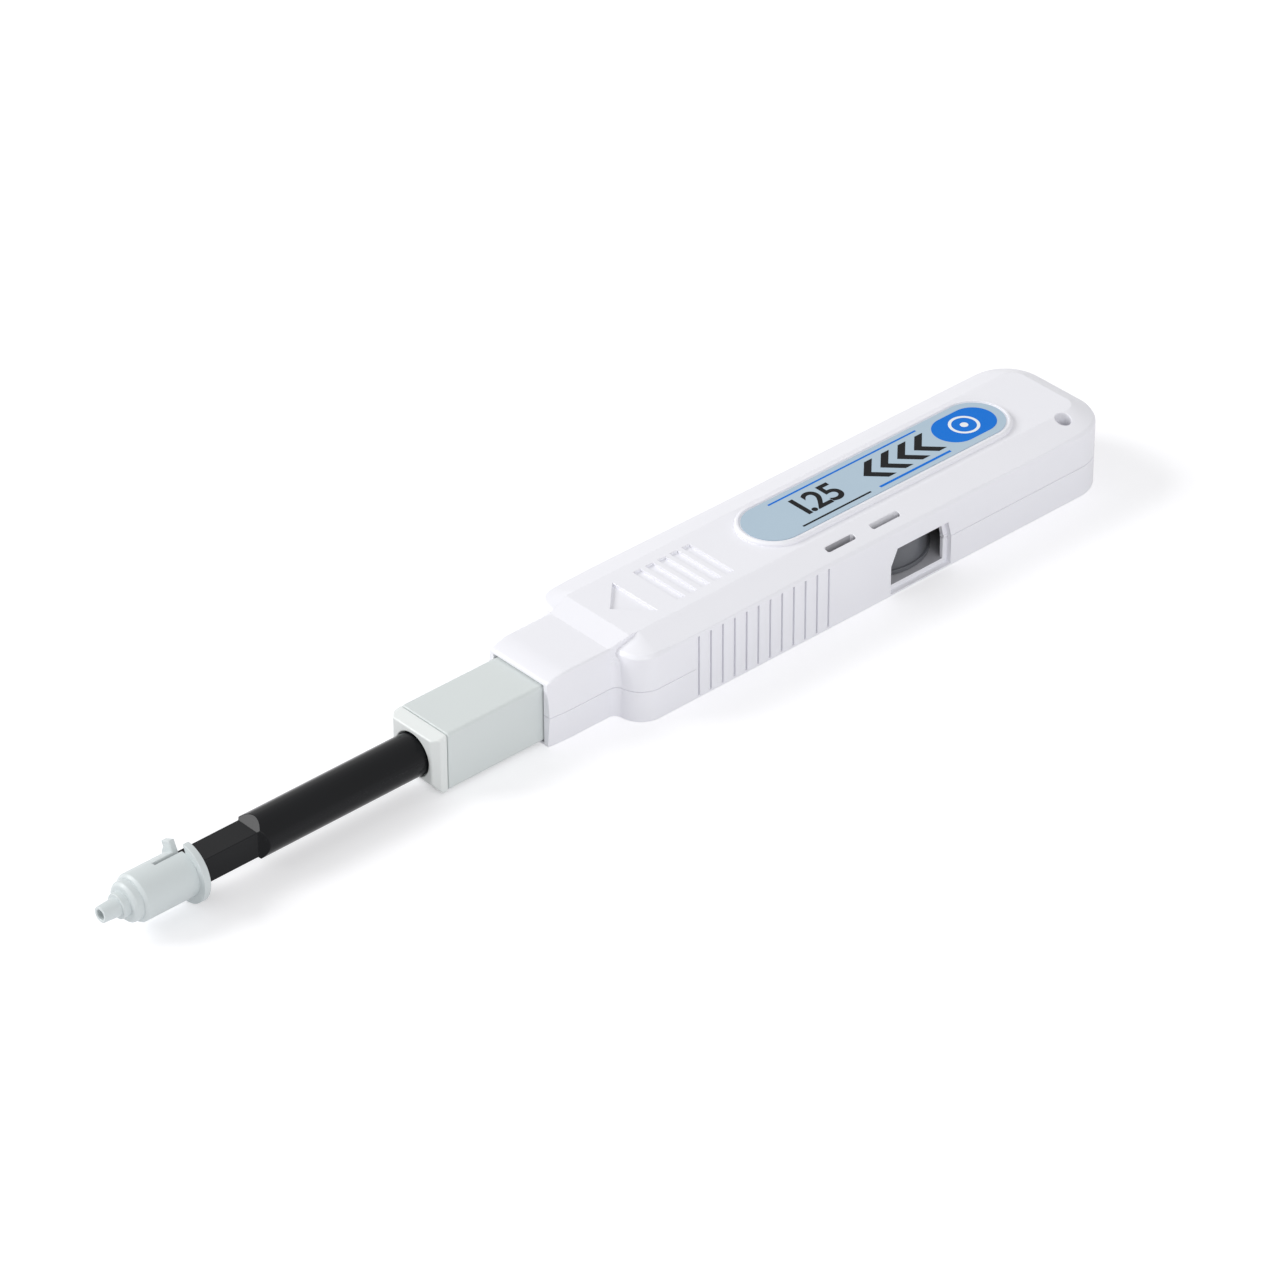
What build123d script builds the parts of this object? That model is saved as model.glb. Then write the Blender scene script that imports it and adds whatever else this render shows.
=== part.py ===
from build123d import *
import os
from math import acos, cos, pi, radians, sin, sqrt, tan

# Fibre connector cleaning pen for 1.25 mm ferrules.
# A clam-shell case holds a supply reel and a take-up reel of cleaning thread.
# A sprung slider carries the nozzle tube.  Pressing the pen onto a connector pushes the
# slider into the case: its rack turns the take-up reel, and a fixed pin in a helical
# groove gives the cleaning head half a turn.
#
# Frame: X along the pen, nozzle towards -X; Y across; Z up; millimetres.
# Origin: middle of the underside of the whole pen.

# ---- Lengths along the pen, in order from the nozzle's tip ----
nozzle_length = 2.4
cap_collar_length = 0.95
cap_step_length = 1.25
cap_barrel_length = 7.9
cap_flange_thickness = 0.95
tube_exposed = 34.7
nose_length = 1.95
nose_groove_width = 0.15
sleeve_exposed = 15.2
neck_length = 10.9
body_length = 83.65
stroke = 12.0

# ---- Case ----
body_width = 20.0
body_height = 11.0
parting_z = 4.5
front_corner_radius = 3.5
rear_corner_radius = 6.0
bevel_rise = 1.35
side_bevel_run = 4.05
front_bevel_run = 3.5
rear_bevel_run = 2.85
top_front_radius = 0.3
top_rear_radius = 2.0
bevel_edge_chamfer = 0.35
side_wall = 1.4
top_wall = 1.4
floor_thickness = 0.95
lap_height = 0.5
lap_gap = 0.05

# ---- Neck and the ramp above it ----
neck_half_width = 6.0
neck_draft = 0.47
neck_height = 10.07
neck_curve_length = 3.55
neck_cove_radius = 1.2
neck_cove_drop = 0.1
mouth_narrowing = 0.29
mouth_drop = 0.64
ramp_foot = 0.95
ramp_length = 3.15
mouth_flare = 0.15
mouth_flare_depth = 1.0

# ---- Grip, top recesses, slots and window ----
grip_setback = 10.1
grip_pitch = 2.02
grip_count = 12
grip_low_z = 0.35
grip_high_z = 9.2
grip_groove_width = 0.32
grip_groove_depth = 0.45
rib_crown = 0.06
recess_depth = 0.4
recess_half_width = 4.1
recess_width = 1.25
recess_pitch = 2.07
recess_count = 5
recess_setback = 12.475
arrow_setback = 4.3
arrow_length = 4.1
slot_length = 4.9
slot_width = 0.9
slot_pitch = 7.8
slot_lead = 12.4
slot_offset = 2.1
slot_corner_radius = 0.3
window_width = 10.7
window_top_width = 9.0
window_skew = 0.25
window_sill_z = 0.3
window_top_z = 6.85
window_rebate = 0.8
window_inset = 0.65
plinth_half_width = 5.0
plinth_height = 0.6
plinth_rear_setback = 15.95
plinth_span = 35.65
plinth_rim = 0.55
plinth_dish = 0.2
plinth_edge_chamfer = 0.25
label_thickness = 0.1
label_margin = 0.27
lanyard_radius = 1.1
lanyard_setback = 6.4
lanyard_inset = 3.2
lanyard_wall = 1.0

# ---- Slider ----
axis_z = 4.55
sleeve_width = 8.8
sleeve_height = 8.3
sleeve_edge_radius = 0.5
sleeve_wall = 1.2
sleeve_bore_radius = 2.75
sleeve_inside = 23.05
sleeve_rear_wall = 1.5
slide_gap = 0.1
fit_gap = 0.03
nose_corner_chamfer = 0.9
nose_chin_height = 1.4
nose_chin_length = 1.1
nose_brow_drop = 0.5
nose_hole_radius = 3.02
nose_hole_depth = 0.6
nose_neck_inset = 0.3
nose_edge_radius = 0.4
nose_plug_length = 3.2
spring_spigot_radius = 2.3
spring_spigot_length = 1.0
thread_hole_radius = 1.2

# ---- Nozzle tube ----
tube_radius = 2.87
tube_bore_radius = 1.95
tube_bore_setback = 1.5
tube_square = 3.6
tube_square_exposed = 9.0
tube_square_hidden = 6.8
tube_tip_bore_radius = 1.2
tube_flange_thickness = 1.5

# ---- Guide cap ----
cap_radius = 3.16
cap_bore_radius = 2.6
cap_flange_radius = 4.15
cap_collar_radius = 1.65
cap_step_radius = 2.65
cap_step_bore_radius = 1.5
cap_edge_chamfer = 0.35
nozzle_base_radius = 1.22
nozzle_tip_radius = 1.07
nozzle_bore_radius = 0.67
nozzle_bore_length = 1.9
tip_guide_radius = 0.9
tip_guide_depth = 3.4
latch_turn = 26.0
latch_notch_width = 2.75
latch_flange_gap = 3.8
latch_notch_length = 4.1
latch_arm_width = 1.7
latch_arm_length = 3.9
latch_arm_root = 0.2
latch_tab_thickness = 0.8
latch_tab_radius = 4.5
latch_tab_width = 1.7
latch_tab_clearance = 0.1

# ---- Cleaning head ----
cam_pin_radius = 0.6
cam_pin_gap = 0.06
cam_pin_setback = 3.65
cam_pin_socket = 1.3
cam_turn = 180.0
groove_depth = 1.1
drum_radius = 2.5
drum_margin = 1.6
stem_radius = 1.25
needle_radius = 0.9
tip_radius = 0.6
tip_length = 4.1
tip_recess = 2.1
tip_flat = 0.42
head_thread_thickness = 0.14
head_thread_width = 0.4
head_spigot_radius = 1.1
head_spigot_length = 1.2
tip_spring_wire = 0.35
tip_spring_radius = 1.6
tip_spring_turns = 3

# ---- Reels, gear, rack and springs ----
gear_module = 0.5
gear_teeth = 16
gear_thickness = 1.3
gear_boss_gap = 0.2
gear_flank_steps = 4
pressure_angle = 20.0
backlash = 0.08
rack_back = 1.2
rack_overrun = 3.4
rack_lug_length = 4.0
rack_peg_width = 1.0
rack_peg_length = 0.8
rack_peg_root = 0.5
reel_pin_radius = 0.8
reel_running_gap = 0.05
reel_floor_gap = 0.1
reel_side_gap = 0.7
reel_spacing_gap = 1.95
reel_rear_gap = 7.7
reel_top_gap = 0.2
reel_flange = 0.5
take_up_core_radius = 4.0
take_up_skirt = 1.0
take_up_groove_z = 4.9
take_up_lip = 0.3
take_up_lip_height = 0.6
take_up_pack_margin = 1.0
hub_radius = 1.9
hub_hex = 2.8
supply_core_radius = 3.0
supply_pack_margin = 0.7
click_teeth = 24
click_tooth_height = 0.4
click_gap = 0.1
click_arm = 0.4
click_spring_height = 1.2
boss_radius = 1.6
floor_boss_height = 1.55
ceiling_boss_height = 0.7
drag_washer_radius = 2.3
drag_washer_thickness = 0.35
bulkhead_gap = 3.1
bulkhead_thickness = 1.2
return_spring_wire = 0.5
return_spring_radius = 2.85
return_spring_turns = 5
spring_wire_sides = 4
rail_thickness = 0.8
guide_post_radius = 0.7
dowel_radius = 0.7
dowel_post_radius = 1.5
dowel_length = 1.3
dowel_hole_gap = 0.05
dowel_setback = 4.5
dowel_lanyard_offset = 1.0

# How far a cutter runs on past the face that it opens.
past = 1.0

# ---- Stations worked out from the lengths ----
overall_length = (
    nozzle_length + cap_collar_length + cap_step_length + cap_barrel_length
    + cap_flange_thickness + tube_exposed + nose_length + nose_groove_width
    + sleeve_exposed + neck_length + body_length
)
tip_x = -overall_length / 2
nozzle_base_x = tip_x + nozzle_length
step_front_x = nozzle_base_x + cap_collar_length
barrel_front_x = step_front_x + cap_step_length
flange_front_x = barrel_front_x + cap_barrel_length
flange_rear_x = flange_front_x + cap_flange_thickness
nose_front_x = flange_rear_x + tube_exposed
nose_rear_x = nose_front_x + nose_length
sleeve_front_x = nose_rear_x + nose_groove_width
mouth_x = sleeve_front_x + sleeve_exposed
shoulder_x = mouth_x + neck_length
rear_x = shoulder_x + body_length
sleeve_rear_x = mouth_x + sleeve_inside
body_half = body_width / 2
bevel_z = body_height - bevel_rise
sleeve_half = sleeve_width / 2
sleeve_low_z = axis_z - sleeve_height / 2
sleeve_high_z = axis_z + sleeve_height / 2
ceiling_z = body_height - top_wall
gear_z = ceiling_z - ceiling_boss_height - gear_boss_gap - gear_thickness
reel_top_z = gear_z - reel_top_gap
reel_radius = body_half - side_wall - reel_side_gap
plinth_top_z = body_height + plinth_height
dish_z = plinth_top_z - plinth_dish
cam_pin_x = shoulder_x + cam_pin_setback
supply_x = rear_x - side_wall - reel_rear_gap - reel_radius
take_up_x = supply_x - 2 * reel_radius - take_up_lip - reel_spacing_gap
lanyard_x = rear_x - lanyard_setback
lanyard_y = -(body_half - lanyard_inset)
gear_pitch_radius = gear_module * gear_teeth / 2
bulkhead_x = take_up_x - reel_radius - bulkhead_gap - bulkhead_thickness
reel_floor_z = floor_thickness + reel_floor_gap
dedendum = 1.25 * gear_module
rack_outer_y = gear_pitch_radius + dedendum + rack_back
plinth_rear_x = rear_x - plinth_rear_setback
plinth_front_x = plinth_rear_x - plinth_span
plug_rear_x = sleeve_front_x + nose_plug_length
tube_rear_x = plug_rear_x + tube_flange_thickness
square_rear_x = flange_rear_x + tube_square_exposed
tube_front_x = flange_rear_x - tube_square_hidden
tube_bore_x = square_rear_x + tube_bore_setback
head_front_x = tip_x + tip_recess + head_thread_thickness
needle_front_x = head_front_x + tip_length
drum_front_x = cam_pin_x - stroke - drum_margin
drum_rear_x = cam_pin_x + drum_margin


def block(x0, x1, y0, y1, z0, z1):
    """Rectangular solid between two corners."""
    box = Box(x1 - x0, y1 - y0, z1 - z0)
    return Pos((x0 + x1) / 2, (y0 + y1) / 2, (z0 + z1) / 2) * box


def upright(radius, x, y, z0, z1):
    """Vertical cylinder from z0 to z1."""
    return Pos(x, y, (z0 + z1) / 2) * Cylinder(radius, z1 - z0)


def lengthwise(radius, x0, x1, rear_radius=None):
    """Round bar on the pen's axis from x0 to x1, tapered if it has a rear radius."""
    place = Pos((x0 + x1) / 2, 0, axis_z) * Rot(0, 90, 0)
    if rear_radius is None:
        return place * Cylinder(radius, x1 - x0)
    return place * Cone(radius, rear_radius, x1 - x0)


def obround(x0, x1, half_width, z0, z1):
    """Upright slab with round ends whose centres are at x0 and x1."""
    plan = Pos((x0 + x1) / 2, 0) * SlotCenterToCenter(x1 - x0, 2 * half_width)
    return extrude(Pos(0, 0, z0) * plan, z1 - z0)


def side_profile(points, half_width):
    """Prism across the pen from an outline given in X and Z."""
    outline = Plane.XZ * make_face(Polyline(*points, close=True))
    return extrude(outline, half_width, both=True)


# ---------------------------------------------------------------- case


def case_plan(x0, x1, half_width, front_radius, rear_radius):
    """Plan of the case: a rectangle with one corner radius at each end."""
    with BuildSketch() as plan:
        with BuildLine():
            Polyline(
                (x0, -half_width), (x1, -half_width), (x1, half_width), (x0, half_width), close=True
            )
        make_face()
        fillet(plan.vertices().group_by(Axis.X)[0], front_radius)
        fillet(plan.vertices().group_by(Axis.X)[-1], rear_radius)
    return plan.sketch


def bevelled_block(inset, z_low, z_bevel, z_high):
    """The case's form, pulled in by inset: upright walls below a bevel on all four sides."""
    rise = z_high - z_bevel
    x0 = shoulder_x + inset
    x1 = rear_x - inset
    half = body_half - inset
    front = front_corner_radius - inset
    rear = rear_corner_radius - inset
    low = case_plan(x0, x1, half, front, rear)
    high = case_plan(
        x0 + rise * front_bevel_run / bevel_rise,
        x1 - rise * rear_bevel_run / bevel_rise,
        half - rise * side_bevel_run / bevel_rise,
        top_front_radius,
        top_rear_radius,
    )
    walls = extrude(Pos(0, 0, z_low) * low, z_bevel - z_low)
    bevel = loft([Pos(0, 0, z_bevel) * low, Pos(0, 0, z_high) * high], ruled=True)
    return walls + bevel


def neck_section(x, narrowing, top_z):
    """Section across the neck: widest at the parting line, drafted above and below it."""
    wide = neck_half_width - narrowing
    draft = neck_draft * (top_z - parting_z) / (neck_height - parting_z)
    foot = neck_draft * parting_z / (neck_height - parting_z)
    outline = Polyline(
        (x, wide - foot, 0),
        (x, wide, parting_z),
        (x, wide - draft, top_z),
        (x, -(wide - draft), top_z),
        (x, -wide, parting_z),
        (x, -(wide - foot), 0),
        close=True,
    )
    return make_face(outline)


def neck_block():
    """Neck round the slider: a mouth that curves in, a straight run and a ramp to the top."""
    curve_end_x = mouth_x + neck_curve_length
    ramp_x = shoulder_x - ramp_foot
    root_x = ramp_x + ramp_length
    mouth = []
    for share in (1.0, 0.5, 0.0):
        bend = share**2
        x = curve_end_x - share * neck_curve_length
        mouth.append(neck_section(x, bend * mouth_narrowing, neck_height - bend * mouth_drop))
    curved = loft(mouth)
    straight = loft(
        [neck_section(curve_end_x, 0, neck_height), neck_section(root_x, 0, neck_height)],
        ruled=True,
    )
    top_half = body_half - side_bevel_run
    ramp_high = Polyline(
        (root_x, neck_half_width, parting_z),
        (root_x, top_half, body_height),
        (root_x, -top_half, body_height),
        (root_x, -neck_half_width, parting_z),
        close=True,
    )
    low_half = neck_half_width - neck_draft
    ramp_low = Polyline(
        (ramp_x, neck_half_width, parting_z),
        (ramp_x, low_half, neck_height),
        (ramp_x, -low_half, neck_height),
        (ramp_x, -neck_half_width, parting_z),
        close=True,
    )
    ramp = loft([make_face(ramp_low), make_face(ramp_high)], ruled=True)
    landing_x = shoulder_x + front_bevel_run + top_front_radius
    landing = block(root_x, landing_x, -top_half, top_half, parting_z, body_height)
    return curved + straight + ramp + landing


def neck_coves():
    """Hollow curves that run the neck's sides into the body's front corners."""
    corner_y = body_half - front_corner_radius
    rise_y = neck_half_width + neck_cove_radius
    reach = front_corner_radius + neck_cove_radius
    back = sqrt(reach**2 - (rise_y - corner_y) ** 2)
    centre_x = shoulder_x + front_corner_radius - back
    turn = (rise_y - corner_y) / reach
    end_x = centre_x + neck_cove_radius * back / reach
    end_y = rise_y - neck_cove_radius * turn
    middle = neck_cove_radius * sqrt(0.5)
    draft = neck_draft / (neck_height - parting_z)
    top_z = bevel_z - bevel_edge_chamfer - neck_cove_drop
    sections = []
    for z in (0, parting_z, top_z):
        shift = -draft * abs(z - parting_z)
        start = (centre_x, neck_half_width + shift, z)
        through = (centre_x + middle, rise_y - middle + shift, z)
        end = (end_x, end_y + shift, z)
        arc = ThreePointArc(start, through, end)
        back_line = Polyline(
            end,
            (shoulder_x + front_corner_radius, end_y + shift, z),
            (shoulder_x + front_corner_radius, neck_half_width - past, z),
            (centre_x, neck_half_width - past, z),
            start,
        )
        sections.append(make_face(arc + back_line))
    cove = loft(sections[:2], ruled=True) + loft(sections[1:], ruled=True)
    run_out = Plane(origin=(shoulder_x, neck_half_width, top_z - neck_draft), z_dir=(-1, 1, 1))
    cove = split(cove, run_out, keep=Keep.BOTTOM)
    return cove + mirror(cove, Plane.XZ)


def grip_cutters():
    """Upright grooves between crowned ribs, along both sides."""
    crest = grip_pitch / 2
    edge = grip_groove_width / 2
    outline = Polyline(
        (-crest, 0),
        (-edge, -rib_crown),
        (-edge, -grip_groove_depth),
        (edge, -grip_groove_depth),
        (edge, -rib_crown),
        (crest, 0),
        (crest, past),
        (-crest, past),
        close=True,
    )
    plan = Pos(0, body_half, grip_low_z) * make_face(outline)
    groove = extrude(plan, grip_high_z - grip_low_z)
    cutters = []
    for i in range(grip_count):
        x = shoulder_x + grip_setback + i * grip_pitch
        cutters.append(Pos(x, 0, 0) * groove)
        cutters.append(Pos(x, 0, 0) * mirror(groove, Plane.XZ))
    return cutters


def top_recesses():
    """Sunk arrow and thumb recesses in the top."""
    floor_z = body_height - recess_depth
    apex_x = shoulder_x + arrow_setback
    base_x = apex_x + arrow_length
    arrow = make_face(
        Polyline(
            (apex_x, 0), (base_x, recess_half_width), (base_x, -recess_half_width), close=True
        )
    )
    recesses = [extrude(Pos(0, 0, floor_z) * arrow, recess_depth + past)]
    bar = Rectangle(recess_width, 2 * recess_half_width)
    for i in range(recess_count):
        x = shoulder_x + recess_setback + i * recess_pitch
        recesses.append(extrude(Pos(x, 0, floor_z) * bar, recess_depth + past))
    return recesses


def bevel_slots():
    """Two slots through the near bevel, over the reel chamber."""
    y = -(body_half - slot_offset)
    plan = RectangleRounded(slot_length, slot_width, slot_corner_radius)
    slots = []
    for i in range(2):
        x = take_up_x - slot_lead + i * slot_pitch
        slots.append(extrude(Pos(x, y, bevel_z - top_wall - past) * plan, bevel_rise + top_wall + past))
    return slots


def window_outline(inset, low_z):
    """Window seen from the side: upright below the parting line, tapered above it."""
    half = window_width / 2 - inset
    top_half = window_top_width / 2 - inset
    top_x = take_up_x + window_skew
    return [
        (take_up_x - half, low_z),
        (take_up_x + half, low_z),
        (take_up_x + half, parting_z),
        (top_x + top_half, window_top_z),
        (top_x - top_half, window_top_z),
        (take_up_x - half, parting_z),
    ]


def window_cutters():
    """Reel window in the near wall: an outer rebate round a smaller opening."""
    outer = make_face(Plane.XZ * Polyline(*window_outline(0, window_sill_z), close=True))
    inner = make_face(Plane.XZ * Polyline(*window_outline(window_inset, floor_thickness), close=True))
    rebate = extrude(Pos(0, -body_half + window_rebate, 0) * outer, window_rebate + past)
    opening = extrude(Pos(0, -body_half + side_wall + past, 0) * inner, side_wall + 2 * past)
    return [rebate, opening]


def dowel_places():
    """Centres of the dowel posts that line up the two shells."""
    front_x = bulkhead_x - dowel_setback
    middle_x = (take_up_x + supply_x) / 2
    y = rack_outer_y + slide_gap + dowel_post_radius
    rear_y = -lanyard_y - dowel_lanyard_offset
    return [(front_x, y), (front_x, -y), (middle_x, y), (middle_x, -y), (lanyard_x, rear_y)]


def inner_walls():
    """Ribs, bulkhead, posts and bosses moulded inside the shells."""
    rail_y = sleeve_half + slide_gap
    rail_x0 = shoulder_x + side_wall
    rail_x1 = sleeve_rear_x + stroke
    far_y = rack_outer_y + slide_gap
    walls = [
        block(rail_x0, rail_x1, -rail_y - rail_thickness, -rail_y, 0, body_height),
        block(rail_x0, rail_x1, rail_y, rail_y + rail_thickness, 0, parting_z),
        block(rail_x0, rail_x1, far_y, far_y + rail_thickness, parting_z, body_height),
        block(bulkhead_x, bulkhead_x + bulkhead_thickness, -body_half, body_half, 0, body_height),
        upright(lanyard_radius + lanyard_wall, lanyard_x, lanyard_y, 0, body_height),
    ]
    for x in (take_up_x, supply_x):
        walls.append(upright(boss_radius, x, 0, 0, floor_thickness + floor_boss_height))
        walls.append(upright(boss_radius, x, 0, ceiling_z - ceiling_boss_height, body_height))
    walls.append(upright(boss_radius, cam_pin_x, 0, sleeve_high_z + slide_gap, body_height))
    for x, y in dowel_places():
        walls.append(upright(dowel_post_radius, x, y, 0, body_height))
    post_x = bulkhead_x + bulkhead_thickness + guide_post_radius / 2
    post_y = thread_hole_radius + 2 * guide_post_radius
    for y in (-post_y, post_y):
        walls.append(upright(guide_post_radius, post_x, y, 0, parting_z))
    return walls


def case_cutters():
    """Everything hollowed out of the case: cavity, slider channel, rack way and holes."""
    slope = side_bevel_run / bevel_rise
    inner_bevel_z = bevel_z + side_wall / slope - top_wall * sqrt(1 + 1 / slope**2)
    cavity = bevelled_block(side_wall, floor_thickness, inner_bevel_z, ceiling_z)
    for wall in inner_walls():
        cavity -= wall
    channel_y = sleeve_half + slide_gap
    channel_low = sleeve_low_z - slide_gap
    channel_high = sleeve_high_z + slide_gap
    channel_rear = sleeve_rear_x + stroke + slide_gap
    channel = block(mouth_x - past, channel_rear, -channel_y, channel_y, channel_low, channel_high)
    flare_y = channel_y + mouth_flare
    flare_x = mouth_x + mouth_flare_depth
    flare = block(mouth_x - past, flare_x, -flare_y, flare_y, channel_low, channel_high + mouth_flare)
    rack_way = block(
        bulkhead_x - past,
        bulkhead_x + bulkhead_thickness + past,
        gear_pitch_radius - gear_module - slide_gap,
        rack_outer_y + slide_gap,
        gear_z - slide_gap,
        gear_z + gear_thickness + slide_gap,
    )
    thread_way = lengthwise(thread_hole_radius, bulkhead_x - past, bulkhead_x + bulkhead_thickness + past)
    lanyard_hole = upright(lanyard_radius, lanyard_x, lanyard_y, -past, body_height + past)
    cutters = [cavity, channel, flare, rack_way, thread_way, lanyard_hole]
    pin_low = floor_thickness / 2
    pin_high = ceiling_z + top_wall / 2
    for x in (take_up_x, supply_x):
        cutters.append(upright(reel_pin_radius + fit_gap, x, 0, pin_low, pin_high))
    socket_high = sleeve_high_z + slide_gap + cam_pin_socket
    cutters.append(upright(cam_pin_radius + fit_gap, cam_pin_x, 0, parting_z, socket_high))
    return cutters


def lap_ring(gap):
    """Tongue of the ship-lap joint that runs round the body's wall, inside the parting line."""
    middle = side_wall / 2
    outer = case_plan(
        shoulder_x + middle - gap,
        rear_x - middle + gap,
        body_half - middle + gap,
        front_corner_radius - middle + gap,
        rear_corner_radius - middle + gap,
    )
    inner = case_plan(
        shoulder_x + side_wall,
        rear_x - side_wall,
        body_half - side_wall,
        front_corner_radius - side_wall,
        rear_corner_radius - side_wall,
    )
    height = lap_height + gap
    ring = extrude(Pos(0, 0, parting_z - height) * (outer - inner), height)
    front = block(
        shoulder_x - past,
        shoulder_x + front_corner_radius + gap,
        -neck_half_width - past,
        neck_half_width + past,
        0,
        body_height,
    )
    half = window_width / 2 - window_inset
    window = block(take_up_x - half, take_up_x + half, -body_half, -body_half / 2, 0, body_height)
    return ring - front - window


def make_case():
    """Upper and lower shells, split at the parting line."""
    body = bevelled_block(0, 0, bevel_z, body_height)
    rim = body.edges().filter_by(lambda e: abs(e.center().Z - bevel_z) < 1e-3)
    body = chamfer(rim, bevel_edge_chamfer)
    plinth = obround(
        plinth_front_x, plinth_rear_x, plinth_half_width, body_height - top_wall / 2, plinth_top_z
    )
    plinth = chamfer(plinth.edges().group_by(Axis.Z)[-1], plinth_edge_chamfer)
    dish = obround(
        plinth_front_x, plinth_rear_x, plinth_half_width - plinth_rim, dish_z, plinth_top_z + past
    )
    case = body + neck_block() + neck_coves() + plinth - dish
    case = case - grip_cutters() - top_recesses() - bevel_slots() - window_cutters()
    case = case - case_cutters()
    reach = overall_length
    above = block(-reach, reach, -reach, reach, parting_z, reach)
    below = block(-reach, reach, -reach, reach, -reach, parting_z)
    upper = (case & above) + lap_ring(0)
    lower = (case & below) - lap_ring(lap_gap)
    for x, y in dowel_places():
        upper += upright(dowel_radius, x, y, parting_z - dowel_length, parting_z)
        hole_z = parting_z - dowel_length - 2 * dowel_hole_gap
        lower -= upright(dowel_radius + dowel_hole_gap, x, y, hole_z, parting_z)
    return upper, lower


def make_label():
    """Thin plate laid in the plinth's dish."""
    half = plinth_half_width - plinth_rim - label_margin
    return obround(plinth_front_x, plinth_rear_x, half, dish_z, dish_z + label_thickness)


# ---------------------------------------------------------------- slider


def make_sleeve():
    """Rectangular sleeve of the slider, with a round bore, a slot for the cam pin and a rear wall."""
    sleeve = block(
        sleeve_front_x, sleeve_rear_x, -sleeve_half, sleeve_half, sleeve_low_z, sleeve_high_z
    )
    sleeve = fillet(sleeve.edges().filter_by(Axis.X), sleeve_edge_radius)
    pocket_y = sleeve_half - sleeve_wall
    pocket = block(
        sleeve_front_x - past,
        tube_rear_x,
        -pocket_y,
        pocket_y,
        sleeve_low_z + sleeve_wall,
        sleeve_high_z - sleeve_wall,
    )
    bore = lengthwise(sleeve_bore_radius, tube_rear_x - past, sleeve_rear_x - sleeve_rear_wall)
    spigot = lengthwise(spring_spigot_radius, sleeve_rear_x, sleeve_rear_x + spring_spigot_length)
    thread_hole = lengthwise(
        thread_hole_radius,
        sleeve_rear_x - sleeve_rear_wall - past,
        sleeve_rear_x + spring_spigot_length + past,
    )
    slot_half = cam_pin_radius + slide_gap
    slot_end = slot_half + slide_gap
    slot = block(
        cam_pin_x - stroke - slot_end,
        cam_pin_x + slot_end,
        -slot_half,
        slot_half,
        axis_z,
        sleeve_high_z + past,
    )
    sleeve = sleeve + spigot - pocket - bore - thread_hole - slot
    for x in rack_peg_places():
        sleeve -= rack_peg(x, rack_peg_length + fit_gap, rack_peg_width + 2 * fit_gap)
    return sleeve


def make_nose():
    """Chamfered nose that plugs the sleeve's front and carries the nozzle tube."""
    top = sleeve_high_z
    low = sleeve_low_z
    profile = side_profile(
        [
            (nose_front_x, low + nose_chin_height),
            (nose_front_x, top - nose_brow_drop),
            (nose_rear_x, top),
            (nose_rear_x, low),
            (nose_front_x + nose_chin_length, low),
        ],
        sleeve_half,
    )
    front = profile.edges().filter_by(Axis.Z).group_by(Axis.X)[0]
    nose = chamfer(front, nose_corner_chamfer)
    rows = nose.faces().sort_by(Axis.Z)[-1].edges().group_by(Axis.Y)
    nose = fillet(rows[0] + rows[-1], nose_edge_radius)
    inset = nose_neck_inset
    neck = block(
        nose_rear_x,
        sleeve_front_x,
        -sleeve_half + inset,
        sleeve_half - inset,
        low + inset,
        top - inset,
    )
    plug_inset = sleeve_wall + fit_gap
    plug = block(
        nose_rear_x,
        plug_rear_x,
        -sleeve_half + plug_inset,
        sleeve_half - plug_inset,
        low + plug_inset,
        top - plug_inset,
    )
    mouth = lengthwise(nose_hole_radius, nose_front_x - past, nose_front_x + nose_hole_depth)
    bore = lengthwise(tube_radius + fit_gap, nose_front_x - past, plug_rear_x + past)
    return nose + neck + plug - mouth - bore


def make_tube():
    """Black nozzle tube: round, then filed square towards the tip with 45 degree run-outs."""
    tube = lengthwise(tube_radius, tube_front_x, tube_rear_x)
    half = tube_square / 2
    deep = tube_radius + past
    run_out = deep - half
    flat = side_profile(
        [
            (tube_front_x - past, half),
            (square_rear_x, half),
            (square_rear_x + run_out, half + run_out),
            (tube_front_x - past, half + run_out),
        ],
        deep,
    )
    for turn in range(4):
        tube -= Pos(0, 0, axis_z) * Rot(90 * turn, 0, 0) * flat
    inset = sleeve_wall + fit_gap
    flange = block(
        plug_rear_x,
        tube_rear_x,
        -sleeve_half + inset,
        sleeve_half - inset,
        sleeve_low_z + inset,
        sleeve_high_z - inset,
    )
    bore = lengthwise(tube_bore_radius, tube_bore_x, tube_rear_x + past)
    tip_bore = lengthwise(tube_tip_bore_radius, tube_front_x - past, tube_bore_x + past)
    return tube + flange - bore - tip_bore


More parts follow.
